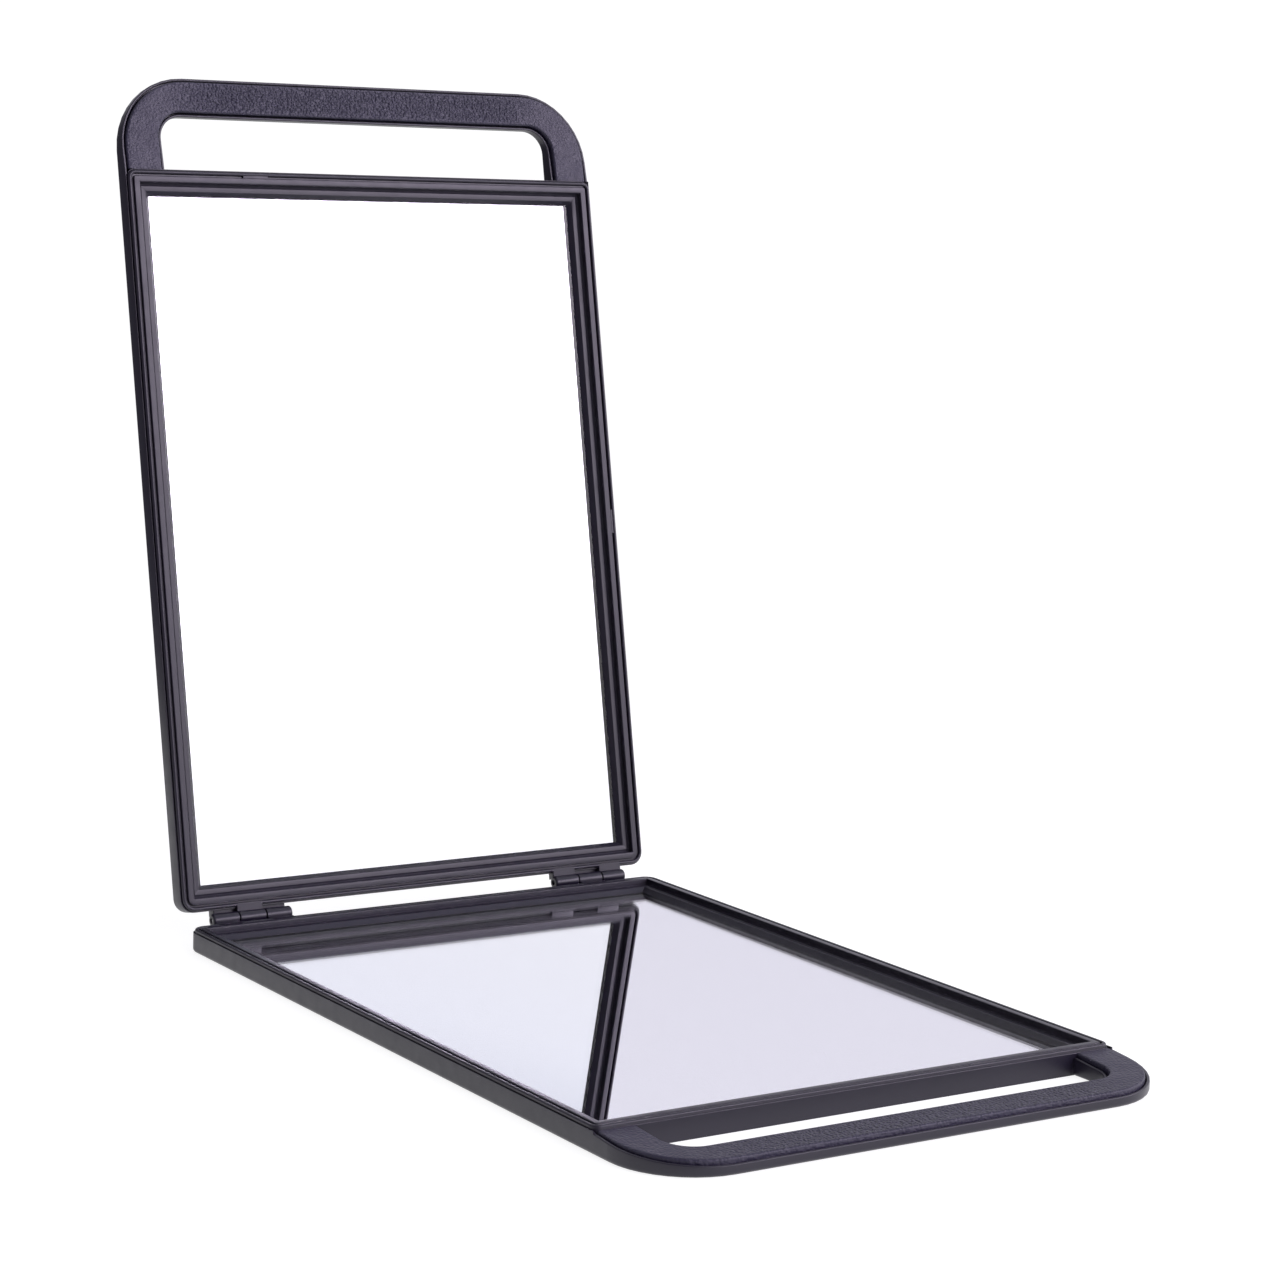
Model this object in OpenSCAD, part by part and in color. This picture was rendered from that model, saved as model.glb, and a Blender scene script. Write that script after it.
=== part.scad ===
// Folding salon hand mirror.
// Two equal leaves are hinged together at one end. Each leaf is a shallow tray
// that holds a mirror glass under a stepped bezel and carries a loop handle.

/* [Leaf] */
// Width of each leaf
leaf_w = 250; // [200:1:300]
// Length of each frame from its hinge end to its handle end
leaf_l = 340.2; // [260:0.2:400]
// Thickness of each leaf from bead to back
body_t = 10.8; // [10.6:0.1:13]
// Corner radius at the hinge end
hinge_corner_r = 6.6; // [6:0.1:10]
// Corner radius at the handle end of the frame
grip_corner_r = 4.5; // [4:0.1:6]
// Radius of the rounded edge along the back
back_edge_r = 2; // [1:0.1:2.2]
// Thickness of the plastic under the glass
back_wall_t = 2.65; // [2.4:0.05:2.9]

/* [Bead and bezel] */
// Width of the rounded bead around the front
bead_w = 1.7; // [1.6:0.05:1.8]
// Width of the thin lip outside the parting groove
lip_edge_w = 0.4; // [0.3:0.05:0.45]
// Width of the parting groove between the side wall and the bead
parting_w = 0.35; // [0.25:0.05:0.45]
// Depth of the parting groove below the bead
parting_depth = 2.3; // [1.8:0.1:2.6]
// Width of the groove between bead and bezel
groove_w = 0.85; // [0.6:0.05:1]
// Width of the flat outer band of the bezel
outer_band_w = 3.05; // [3:0.05:3.6]
// Width of the channel between the two bands
channel_w = 1.5; // [1:0.05:1.8]
// Depth of the channel between the two bands
channel_depth = 3.6; // [3.4:0.1:4.2]
// Width of the inner band of the bezel
inner_band_w = 2.35; // [2:0.05:3]
// Step down from the outer band to the inner band
band_step = 2.8; // [2.4:0.1:3.2]
// How much the inner band falls towards the glass
band_fall = 0.5; // [0:0.1:1]
// Width of the sloping lip next to the glass
lip_w = 1.5; // [1:0.1:1.8]
// Depth of the glass face below the bead
glass_depth = 5.25; // [5:0.05:5.5]

/* [Glass] */
// Thickness of the mirror glass
glass_t = 2.4; // [2:0.1:2.7]
// Gap between the edge of the glass and the bezel
glass_gap = 0.3; // [0.1:0.05:0.5]

/* [Handle] */
// Length of the handle beyond the frame
grip_l = 43.6; // [38:0.2:60]
// Outer corner radius of the handle
grip_r = 34; // [24:0.5:36]
// Width of the finger slot
slot_w = 208.8; // [140:0.2:216]
// Depth of the finger slot beyond the frame
slot_l = 25.5; // [20:0.1:28]
// Corner radius of the finger slot
slot_r = 11; // [8:0.1:14]
// Depth of the handle rim below the bead, next to the frame
rim_depth = 2.4; // [2:0.1:3]
// Slope of the handle rim in degrees
rim_slope = 5.2; // [3:0.1:5.6]
// How much lower the rim is around the finger slot
slot_rim_drop = 1; // [0:0.1:1.2]
// Thickness of the handle rim
rim_t = 1.3; // [1:0.05:1.6]
// Width of the groove between the rim and the grip plate
grip_groove_w = 0.6; // [0.4:0.05:0.9]
// Depth of the grip plate's face below the bead, next to the frame
grip_depth = 1.7; // [1.2:0.1:2]
// Slope of the grip plate in degrees
grip_slope = 3.6; // [2:0.1:4]
// Radius of the rounded edges of the grip plate
grip_edge_r = 0.9; // [0.4:0.05:1.2]

/* [Hinge] */
// Angle between the two leaves
open_angle = 101.7; // [90:0.1:180]
// Distance of each hinge from the middle of the leaf
hinge_x = 91.4; // [60:0.2:92]
// Length of one hinge knuckle
knuckle_l = 13; // [9:0.1:15]
// Gap between two knuckles
knuckle_gap = 0.5; // [0.3:0.05:0.8]
// Radius of a hinge knuckle
knuckle_r = 3.1; // [2.5:0.05:3.1]
// Radius of a hinge pin
pin_r = 1.25; // [1:0.05:1.5]
// Running clearance around a hinge pin
pin_gap = 0.05; // [0.02:0.01:0.1]
// Distance from the hinge axis to the end of each frame
axis_gap = 4.4; // [4.2:0.1:6]
// Height of the hinge axis above the bead
axis_rise = 0.3; // [0.2:0.05:0.5]
// Distance from the hinge axis to the web behind each hinge
web_gap = 1.2; // [1:0.1:2]
// Distance from one end of each hinge to its web
web_inset = 3.1; // [0.6:0.1:4]

/* [Hidden] */
$fn = 96;

half_w = leaf_w / 2;
y_in = axis_gap;
y_out = axis_gap + leaf_l;
y_tip = y_out + grip_l;
ledge_z = -1.5;
floor_z = -body_t + back_wall_t;
bead_ledge = lip_edge_w + parting_w;
wall_t = bead_ledge + bead_w;
bead_r = bead_w / 2;
bezel_in = wall_t + groove_w;
band_in = bezel_in + outer_band_w;
band2_in = band_in + channel_w + inner_band_w;
opening_in = band2_in + lip_w;
band_edge_r = 0.4;
lip_foot = 0.1;
leg_t = 2.9;
middle = max(half_w, leaf_l / 2) + 1;
leg_in = bezel_in + leg_t;
glass_in = leg_in + glass_gap;
pad_t = body_t - back_wall_t - glass_depth - glass_t;
channel_floor_z = -body_t + 2.8;
grip_in = rim_t + grip_groove_w;
slot_edge_r = 1.2;
bore_r = pin_r + pin_gap;
hinge_half = 1.5 * knuckle_l + knuckle_gap;
flange_t = knuckle_r - axis_rise;
web_top_z = -flange_t - 0.6;
web_bottom_z = -body_t + back_edge_r;
shell_color = [0.13, 0.12, 0.14];
grip_color = [0.16, 0.15, 0.17];

// A flat panel with one radius at its near corners and one at its far corners.
module panel(half, y0, y1, r0, r1) {
  translate([-half, y0 + r0])
    square([2 * half, y1 - y0 - r0 - r1]);
  translate([-half + r0, y0])
    square([2 * (half - r0), r0 + 1]);
  translate([-half + r1, y1 - r1 - 1])
    square([2 * (half - r1), r1 + 1]);
  for (side = [-1, 1]) {
    translate([side * (half - r0), y0 + r0])
      circle(r0);
    translate([side * (half - r1), y1 - r1])
      circle(r1);
  }
}

// The frame's panel, set in from the edge.
module frame_panel(inset) {
  panel(half_w - inset, y_in + inset, y_out - inset,
        hinge_corner_r - inset, grip_corner_r - inset);
}

// The outline of frame and handle together, set in from the edge.
module whole_panel(inset) {
  panel(half_w - inset, y_in + inset, y_tip - inset,
        hinge_corner_r - inset, grip_r - inset);
}

// Carries a profile around a closed panel edge. The profile's x points outward.
module edge_sweep(half, y0, y1, r0, r1) {
  for (side = [0, 1])
    mirror([side, 0, 0]) {
      translate([half, y1 - r1, 0])
        rotate([90, 0, 0])
          linear_extrude(y1 - r1 - y0 - r0) children();
      translate([half - r1, y1 - r1, 0])
        rotate_extrude(angle = 90) translate([r1, 0]) children();
      translate([half - r0, y0 + r0, 0])
        rotate([0, 0, -90])
          rotate_extrude(angle = 90) translate([r0, 0]) children();
    }
  translate([-half + r1, y1, 0])
    rotate([90, 0, 90])
      linear_extrude(2 * (half - r1)) children();
  translate([half - r0, y0, 0])
    rotate([90, 0, -90])
      linear_extrude(2 * (half - r0)) children();
}

// Carries a profile around the open loop of the handle, frame end to frame end.
module loop_sweep(half, top, r) {
  for (side = [0, 1])
    mirror([side, 0, 0]) {
      translate([half, top - r, 0])
        rotate([90, 0, 0])
          linear_extrude(top - r - y_out) children();
      translate([half - r, top - r, 0])
        rotate_extrude(angle = 90) translate([r, 0]) children();
    }
  translate([-half + r, top, 0])
    rotate([90, 0, 90])
      linear_extrude(2 * (half - r)) children();
}

// The open loop's area between the frame and a rounded outline.
module loop_area(half, top, r) {
  intersection() {
    panel(half, y_out - 2 * r, top, 0.5, r);
    translate([-half, y_out])
      square([2 * half, top - y_out]);
  }
}

// The finger slot's area, grown outward.
module slot_area(grow) {
  loop_area(slot_w / 2 + grow, y_out + slot_l + grow, slot_r + grow);
}

// One knuckle along X, with a rounded outer end.
module knuckle(x0, x1, round_low, round_high) {
  e = 1;
  translate([x0, 0, axis_rise])
    rotate([0, 90, 0])
      rotate_extrude()
        difference() {
          square([knuckle_r, x1 - x0]);
          if (round_low)
            difference() {
              translate([knuckle_r - e, -1])
                square([e + 1, e + 1]);
              translate([knuckle_r - e, e])
                circle(e);
            }
          if (round_high)
            difference() {
              translate([knuckle_r - e, x1 - x0 - e])
                square([e + 1, e + 1]);
              translate([knuckle_r - e, x1 - x0 - e])
                circle(e);
            }
        }
}

// A hinge lug: a knuckle and the flange that carries it.
module lug(x0, x1, round_low, round_high) {
  knuckle(x0, x1, round_low, round_high);
  translate([x0 + (round_low ? 0.6 : 0), 0, -flange_t])
    cube([x1 - x0 - (round_low ? 0.6 : 0) - (round_high ? 0.6 : 0),
          y_in + wall_t, flange_t]);
}

// The web that closes the gap behind a hinge and is its stop when the leaves are flat.
module web(x) {
  translate([x - hinge_half + web_inset, web_gap, web_bottom_z])
    cube([2 * hinge_half - web_inset - 0.6, y_in - web_gap + 1,
          web_top_z - web_bottom_z]);
}

// Ties a pair of lugs down to the web below them.
module rib(x0, x1) {
  translate([x0, y_in - 1.6, web_bottom_z])
    cube([x1 - x0, 2.6, -web_bottom_z - 0.5]);
}

// The single lug on the left and the pair of lugs on the right of a leaf.
module lugs() {
  lug(-hinge_x - knuckle_l / 2, -hinge_x + knuckle_l / 2, false, false);
  lug(hinge_x - hinge_half, hinge_x - hinge_half + knuckle_l, true, false);
  lug(hinge_x + hinge_half - knuckle_l, hinge_x + hinge_half, false, true);
  rib(-hinge_x - knuckle_l / 2, -hinge_x + knuckle_l / 2);
  rib(hinge_x - hinge_half + web_inset, hinge_x - hinge_half + knuckle_l);
  rib(hinge_x + hinge_half - knuckle_l, hinge_x + hinge_half - 0.6);
  web(-hinge_x);
  web(hinge_x);
}

// The pin turns in the single lug and is pressed into the pair, whose inner end
// is closed.
module pin_bores() {
  translate([-hinge_x - hinge_half, 0, axis_rise])
    rotate([0, 90, 0])
      cylinder(r = bore_r, h = 2 * hinge_half);
  translate([hinge_x - hinge_half + 1.5, 0, axis_rise])
    rotate([0, 90, 0])
      cylinder(r = pin_r, h = 2 * hinge_half);
}

// The strips at the hinge end where the lugs run into the bead.
module hinge_strips() {
  translate([-hinge_x - knuckle_l / 2, 0])
    square([knuckle_l, y_in + wall_t]);
  translate([hinge_x - hinge_half + 0.6, 0])
    square([knuckle_l - 0.6, y_in + wall_t]);
  translate([hinge_x + hinge_half - knuckle_l, 0])
    square([knuckle_l - 0.6, y_in + wall_t]);
}

// The space above the handle's rim, which slopes down away from the frame.
module rim_cut(drop) {
  translate([-half_w - 1, 0, 0])
    rotate([90, 0, 90])
      linear_extrude(leaf_w + 2)
        polygon([[y_out, -rim_depth - drop], [y_out, 1], [y_tip + 1, 1],
                 [y_tip + 1, -rim_depth - drop - (grip_l + 1) * tan(rim_slope)]]);
}

// The tray of one leaf, with its bead, handle channel and hinge lugs.
module shell() {
  difference() {
    union() {
      translate([0, 0, -body_t + back_edge_r])
        linear_extrude(body_t - back_edge_r + ledge_z)
          whole_panel(0);
      translate([0, 0, -body_t])
        linear_extrude(2 * back_edge_r)
          whole_panel(back_edge_r);
      edge_sweep(half_w, y_in, y_tip, hinge_corner_r, grip_r)
        translate([-back_edge_r, -body_t + back_edge_r])
          circle(back_edge_r);
      translate([0, 0, ledge_z - 1])
        linear_extrude(1 - ledge_z - bead_r)
          frame_panel(bead_ledge);
      edge_sweep(half_w - bead_ledge, y_in + bead_ledge, y_out - bead_ledge,
                 hinge_corner_r - bead_ledge, grip_corner_r - bead_ledge)
        translate([-bead_r, -bead_r])
          circle(bead_r);
      lugs();
    }
    translate([0, 0, floor_z])
      linear_extrude(body_t)
        frame_panel(wall_t);
    translate([0, 0, -parting_depth])
      linear_extrude(body_t)
        difference() {
          frame_panel(lip_edge_w);
          frame_panel(bead_ledge);
          hinge_strips();
        }
    rim_cut(0);
    intersection() {
      rim_cut(slot_rim_drop);
      translate([0, 0, -body_t])
        linear_extrude(body_t + 1)
          slot_area(rim_t + 0.01);
    }
    translate([0, 0, channel_floor_z])
      linear_extrude(body_t)
        difference() {
          loop_area(half_w - rim_t, y_tip - rim_t, grip_r - rim_t);
          slot_area(rim_t);
        }
    translate([0, 0, -body_t - 1])
      linear_extrude(body_t)
        slot_area(0);
    loop_sweep(slot_w / 2, y_out + slot_l, slot_r)
      difference() {
        translate([-0.5, -body_t - 0.5])
          square([slot_edge_r + 0.5, slot_edge_r + 0.5]);
        translate([slot_edge_r, -body_t + slot_edge_r])
          circle(slot_edge_r);
      }
    pin_bores();
  }
}

// The space inside one section that runs along all four sides of the frame. The
// section's x is the distance in from the leaf's edge. Neighbouring sides meet in a mitre.
module inside_all_sides() {
  intersection() {
    translate([0, y_out, 0])
      rotate([90, 0, 0])
        linear_extrude(leaf_l)
          both_ways(half_w) children();
    translate([-half_w, y_in + leaf_l / 2, 0])
      rotate([90, 0, 90])
        linear_extrude(leaf_w)
          both_ways(leaf_l / 2) children();
  }
}

// A section and its mirror image, each set out by the same distance.
module both_ways(distance) {
  for (side = [0, 1])
    mirror([side, 0])
      translate([-distance, 0]) children();
}

// The bezel's moulded face: a flat band, a channel, and a lower band and lip that fall
// towards the glass.
module bezel_face() {
  e = band_edge_r;
  difference() {
    union() {
      difference() {
        inside_all_sides() {
          translate([bezel_in, -glass_depth])
            square([middle, glass_depth - e]);
          translate([bezel_in + e, -glass_depth])
            square([middle, glass_depth]);
          translate([bezel_in + e, -e])
            circle(e);
        }
        inside_all_sides()
          difference() {
            union() {
              translate([band_in, -channel_depth])
                square([middle, channel_depth + 1]);
              translate([band_in - e, -e])
                square([2 * e, e + 1]);
            }
            translate([band_in - e, -e])
              circle(e);
          }
      }
      inside_all_sides()
        translate([band_in + channel_w, -glass_depth])
          square([middle, glass_depth - band_step]);
    }
    inside_all_sides()
      polygon([[band_in + channel_w, 1], [band_in + channel_w, -band_step],
               [band2_in, -band_step - band_fall],
               [opening_in, -glass_depth + lip_foot], [opening_in, -glass_depth - 1],
               [middle, -glass_depth - 1], [middle, 1]]);
  }
}

// The bezel's outline, set in from the edge.
module bezel_area() {
  panel(half_w - bezel_in, y_in + bezel_in, y_out - bezel_in,
        hinge_corner_r - bezel_in, max(grip_corner_r - bezel_in, 0.8));
}

// The stepped frame that holds the glass down, with two snap tabs. Its legs stand on
// the tray's floor around the glass.
module bezel() {
  intersection() {
    bezel_face();
    translate([0, 0, -body_t])
      linear_extrude(body_t + 1)
        bezel_area();
  }
  translate([0, 0, floor_z])
    linear_extrude(-1 - floor_z)
      difference() {
        bezel_area();
        translate([-half_w + leg_in, y_in + leg_in])
          square([leaf_w - 2 * leg_in, leaf_l - 2 * leg_in]);
      }
  translate([-0.265 * leaf_w, y_out - bezel_in - 0.5, -1.6])
    cube([13, groove_w + 0.5, 1.25]);
  translate([half_w - bezel_in - 0.5, y_in + 0.483 * leaf_l, -1.6])
    cube([groove_w + 0.5, 11.5, 1.25]);
}

// The mirror glass.
module glass() {
  translate([0, 0, -glass_depth - glass_t])
    linear_extrude(glass_t)
      panel(half_w - glass_in, y_in + glass_in, y_out - glass_in, 1.5, 1.5);
}

// The soft sheet between the glass and the tray.
module pad() {
  translate([0, 0, floor_z])
    linear_extrude(pad_t)
      panel(half_w - glass_in, y_in + glass_in, y_out - glass_in, 1.5, 1.5);
}

// Cuts a loop's inner and outer front edges to a radius.
module edge_cut(e) {
  difference() {
    translate([-e, -e])
      square([e + 1, e + 1]);
    translate([-e, -e])
      circle(e);
  }
}

// The textured plate on the front of the handle. Its face slopes away.
module grip() {
  e = grip_edge_r;
  intersection() {
    translate([0, y_out, -grip_depth])
      rotate([-grip_slope, 0, 0])
        translate([0, -y_out, 0])
          difference() {
            translate([0, 0, -body_t])
              linear_extrude(body_t)
                difference() {
                  loop_area(half_w - grip_in, y_tip - grip_in, grip_r - grip_in);
                  slot_area(grip_in);
                }
            loop_sweep(half_w - grip_in, y_tip - grip_in, grip_r - grip_in)
              edge_cut(e);
            loop_sweep(slot_w / 2 + grip_in, y_out + slot_l + grip_in,
                       slot_r + grip_in)
              mirror([1, 0]) edge_cut(e);
          }
    translate([-half_w, y_out, channel_floor_z])
      cube([leaf_w, grip_l, body_t]);
  }
}

// One hinge pin.
module pin() {
  translate([hinge_x - hinge_half + 1.5, 0, axis_rise])
    rotate([0, 90, 0])
      cylinder(r = pin_r, h = 2 * hinge_half - 2.1);
}

// Puts a leaf's part where the base leaf lies.
module as_base() {
  translate([0, axis_gap + leaf_l / 2, body_t + axis_rise])
    rotate([0, 0, 180])
      translate([0, 0, -axis_rise]) children();
}

// Puts a leaf's part where the upper leaf stands.
module as_upper() {
  translate([0, axis_gap + leaf_l / 2, body_t + axis_rise])
    rotate([180 - open_angle, 0, 0])
      translate([0, 0, -axis_rise]) children();
}

module base_shell() {
  color(shell_color) as_base() shell();
}

module base_grip() {
  color(grip_color) as_base() grip();
}

module base_bezel() {
  color(shell_color) as_base() bezel();
}

module base_glass() {
  color([0.86, 0.88, 0.9]) as_base() glass();
}

module base_pad() {
  color([0.3, 0.3, 0.3]) as_base() pad();
}

module upper_shell() {
  color(shell_color) as_upper() shell();
}

module upper_grip() {
  color(grip_color) as_upper() grip();
}

module upper_bezel() {
  color(shell_color) as_upper() bezel();
}

module upper_glass() {
  color([0.86, 0.88, 0.9]) as_upper() glass();
}

module upper_pad() {
  color([0.3, 0.3, 0.3]) as_upper() pad();
}

module left_pin() {
  color([0.6, 0.6, 0.62]) as_base() pin();
}

module right_pin() {
  color([0.6, 0.6, 0.62]) as_upper() pin();
}

base_shell();
base_grip();
base_bezel();
base_glass();
base_pad();
upper_shell();
upper_grip();
upper_bezel();
upper_glass();
upper_pad();
left_pin();
right_pin();
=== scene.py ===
# %% [markdown]
# This lesson dresses a folding salon mirror. Two equal leaves are hinged together at one end, and
# each is a black moulded tray that holds a mirror glass under a stepped bezel and ends in a loop
# handle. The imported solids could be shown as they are, but their edges are sharper than those of
# a moulding. So each visible piece is made again here, in the place of its solid.

import bmesh
import bpy
import numpy as np
from mathutils import Euler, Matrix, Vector
from mathutils.geometry import tessellate_polygon


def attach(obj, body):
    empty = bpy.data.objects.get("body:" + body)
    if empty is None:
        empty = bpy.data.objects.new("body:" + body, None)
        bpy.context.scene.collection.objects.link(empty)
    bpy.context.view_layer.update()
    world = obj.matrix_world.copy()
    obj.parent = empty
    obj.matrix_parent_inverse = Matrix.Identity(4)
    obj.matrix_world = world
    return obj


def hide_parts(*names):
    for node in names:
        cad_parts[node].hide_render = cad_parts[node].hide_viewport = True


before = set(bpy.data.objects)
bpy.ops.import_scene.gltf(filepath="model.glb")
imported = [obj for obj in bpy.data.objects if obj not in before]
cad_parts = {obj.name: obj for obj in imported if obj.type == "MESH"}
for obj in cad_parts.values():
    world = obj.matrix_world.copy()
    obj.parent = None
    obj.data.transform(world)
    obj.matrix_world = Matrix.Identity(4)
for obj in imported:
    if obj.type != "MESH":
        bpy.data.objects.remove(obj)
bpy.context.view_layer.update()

# %% [markdown]
# The mirror is seen from the left of the base leaf's handle, a little above the upper leaf's top
# and almost level. A camera could be moved by hand until the view looks right. This one was
# solved from the edges and corners of both frames, so the two leaves keep their true
# proportions. Its long lens lets far edges shrink only a little.

# %% The camera
sensor_width, focal_length = 36, 91.141
nearest, farthest = 0.05, 60
camera_place = (-0.73830, -1.11356, 0.35708)
camera_turn = (81.6920, -1.8445, -33.1829)

cam_data = bpy.data.cameras.new("camera")
cam = bpy.data.objects.new("camera", cam_data)
bpy.context.scene.collection.objects.link(cam)
cam_data.sensor_width = sensor_width
cam_data.lens = focal_length
cam_data.clip_start = nearest
cam_data.clip_end = farthest
cam.location = Vector(camera_place)
cam.rotation_euler = Euler(np.radians(camera_turn).tolist(), "XYZ")
bpy.context.scene.camera = cam
print("camera at", camera_place, "metres, turned by", camera_turn, "degrees")

# %% [markdown]
# The two leaves are the same moulding, used twice. They could be modelled where they stand, but
# then every size would be needed twice. So all pieces are worked out in a leaf's own frame, in
# millimetres: the hinge axis is the line y = 0, z = 0.3, the leaf runs along +y, and z = 0 is the
# level of its front bead. One function lays the points where the base leaf lies, and one where
# the upper leaf stands.

# %% Sizes of a leaf, in millimetres
half_width = 125.0
frame_length, handle_length = 340.2, 43.6
axis_gap, axis_rise = 4.4, 0.3
frame_end = axis_gap + frame_length
tip_end = frame_end + handle_length
body_thickness, floor_level = 10.8, -8.15
corner_radius, grip_corner_radius, handle_radius = 6.6, 4.5, 34.0
print("a leaf is", 2 * half_width, "by", round(tip_end - axis_gap, 1), "mm")

# %% From a leaf to the table
open_angle = np.radians(101.7)
hinge_y = axis_gap + frame_length / 2


def on_base(p):
    """Base leaf: turned half round about the vertical, then set on the table."""
    return np.stack([-p[:, 0], hinge_y - p[:, 1], p[:, 2] + body_thickness], 1)


def on_upper(p):
    """Upper leaf: turned about the hinge axis by 180 degrees less the opening angle."""
    c, s = np.cos(np.pi - open_angle), np.sin(np.pi - open_angle)
    y, z = p[:, 1], p[:, 2] - axis_rise
    return np.stack([p[:, 0], hinge_y + y * c - z * s,
                     body_thickness + axis_rise + y * s + z * c], 1)


leaves = {"base": on_base, "upper": on_upper}
print("the leaves stand", round(float(np.degrees(open_angle)), 1), "degrees apart")

# %% [markdown]
# Most of a leaf is a profile carried round a rectangle with rounded corners, as a picture frame's
# moulding is. It could be swept along a curve, but then the profile would shrink or swell in the
# corners. Here each point of the profile gives a loop of its own. All loops have the same number
# of points, so a piece is a plain grid of rows and columns.

# %% Loops round a rounded rectangle
arc_steps, side_steps = 10, 24


def rounded_loop(half, y0, y1, r0, r1, side_y=None):
    """Points round a rectangle, anticlockwise from its near left corner.
    A corner point is its arc's centre plus the radius times (cos a, sin a), and an edge's points
    are spaced evenly from arc to arc, or at the heights side_y on the two long sides."""
    def arc(cx, cy, r, a0):
        a = a0 + np.linspace(0, np.pi / 2, arc_steps + 1)
        return np.stack([cx + r * np.cos(a), cy + r * np.sin(a)], 1)

    def edge(a, b):
        t = np.linspace(0, 1, side_steps + 1)[1:-1, None]
        return a + (b - a) * t

    def long_side(a, b):
        if side_y is None:
            return edge(a, b)
        y = side_y if b[1] > a[1] else side_y[::-1]
        return np.stack([np.full(len(y), a[0]), y], 1)

    arcs = [arc(-half + r0, y0 + r0, r0, np.pi), arc(half - r0, y0 + r0, r0, 1.5 * np.pi),
            arc(half - r1, y1 - r1, r1, 0), arc(-half + r1, y1 - r1, r1, np.pi / 2)]
    return np.vstack([arcs[0], edge(arcs[0][-1], arcs[1][0]), arcs[1],
                      long_side(arcs[1][-1], arcs[2][0]), arcs[2],
                      edge(arcs[2][-1], arcs[3][0]), arcs[3],
                      long_side(arcs[3][-1], arcs[0][0])])


print("a loop has", len(rounded_loop(10, 0, 20, 1, 1)), "points")

# %% Loops round the frame
tightest_radius = 0.15


def at_height(xy, z):
    """Points with a third coordinate: one height for all, or one for each."""
    return np.column_stack([xy, np.broadcast_to(z, len(xy))])


def frame_loop(hinge_in, side_in, grip_in, z, r_hinge, r_grip):
    """The frame's outline set in by three insets, at height z."""
    return at_height(rounded_loop(half_width - side_in, axis_gap + hinge_in, frame_end - grip_in,
                                  max(r_hinge, tightest_radius), max(r_grip, tightest_radius)), z)


def arc_profile(cu, cz, r, a0, a1, steps):
    """Points of a round edge: centre plus radius times (cos a, sin a), a in degrees."""
    a = np.radians(np.linspace(a0, a1, steps + 1))
    return np.stack([cu + r * np.cos(a), cz + r * np.sin(a)], 1)


outline = frame_loop(0, 0, 0, 0, corner_radius, grip_corner_radius)
print("the frame reaches from", outline.min(0), "to", outline.max(0), "mm")

# %% [markdown]
# A skin is an array of points, and blocks of faces that number them. In a grid, neighbouring rows
# and columns give the faces. A flat end with a hole in it has no such order and could be bridged
# by hand, but cutting it into triangles is surer.

# %% Skins from loops
def grid(points, wrap_rows=True, wrap_columns=True):
    """Faces between neighbouring rows and columns of an array of rows by columns by 3."""
    rows, columns = points.shape[:2]
    index = np.arange(rows * columns).reshape(rows, columns)
    if wrap_rows:
        index = np.vstack([index, index[:1]])
    if wrap_columns:
        index = np.hstack([index, index[:, :1]])
    faces = np.stack([index[:-1, :-1], index[:-1, 1:], index[1:, 1:], index[1:, :-1]], -1)
    return points.reshape(-1, 3), [faces.reshape(-1, 4)]


def closed_tube(rows):
    """A tube from rows of profile points along an open path, with a flat face at both ends."""
    points, blocks = grid(rows, wrap_rows=True, wrap_columns=False)
    count, columns = rows.shape[:2]
    first = np.arange(count) * columns
    last = first + columns - 1
    return points, blocks + [first[None], last[None, ::-1]]


def cap(outer, holes, up):
    """A flat face inside a loop of points, with holes, cut into triangles. A triangle faces up
    if the cross product of two of its sides does. Where that is wrong, two corners are swapped."""
    loops = [outer, *holes]
    points = np.vstack(loops)
    triangles = np.array(tessellate_polygon([list(map(Vector, loop)) for loop in loops]))
    a, b, c = points[triangles].transpose(1, 0, 2)
    wrong = (np.cross(b - a, c - a)[:, 2] > 0) != up
    triangles[wrong] = triangles[wrong][:, [0, 2, 1]]
    return points, [triangles]


print("a grid of 3 by 4 points has", len(grid(np.zeros((3, 4, 3)), False, False)[1][0]), "faces")

# %% [markdown]
# A piece could be made of many small objects, but the real ones are single mouldings. So each
# piece here is one mesh that holds several closed skins. Its points are laid in place, the
# points that two skins share are merged, and its edges stay smooth except where they turn
# sharply.

# %% Join skins into a mesh
millimetres_a_metre = 1000
weld_distance = 1e-6


def joined_mesh(name, leaf, skins, marks):
    """One mesh in metres. Each skin's faces are counted on from the points before it. The marks
    are the first points' strength of grain or mattness, and the other points have 0."""
    faces, kinds, start = [], [], 0
    for points, blocks, *kind in skins:
        for block in blocks:
            faces += (block + start).tolist()
            kinds += (kind or [0]) * len(block)
        start += len(points)
    placed = leaves[leaf](np.vstack([skin[0] for skin in skins])) / millimetres_a_metre
    mesh = bpy.data.meshes.new(name)
    mesh.from_pydata(placed.tolist(), [], faces)
    mesh.polygons.foreach_set("material_index", kinds)
    if marks is not None:
        strength = np.zeros(start, np.float32)
        strength[:marks.size] = marks.ravel()
        layer = mesh.attributes.new("marks", "FLOAT", "POINT")
        layer.data.foreach_set("value", strength)
    return mesh


def weld(mesh):
    """Merge the points that skins share, and count what is left open."""
    work = bmesh.new()
    work.from_mesh(mesh)
    bmesh.ops.remove_doubles(work, verts=work.verts, dist=weld_distance)
    bmesh.ops.dissolve_degenerate(work, edges=work.edges, dist=weld_distance)
    open_edges = sum(len(edge.link_faces) != 2 for edge in work.edges)
    volume = work.calc_volume(signed=True)
    work.to_mesh(mesh)
    work.free()
    return open_edges, volume


print("points within", weld_distance, "metres of each other are merged")

# %% Make a piece
sharp_angle = np.radians(30)
cubic_cm_a_cubic_metre = 1e6


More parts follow.
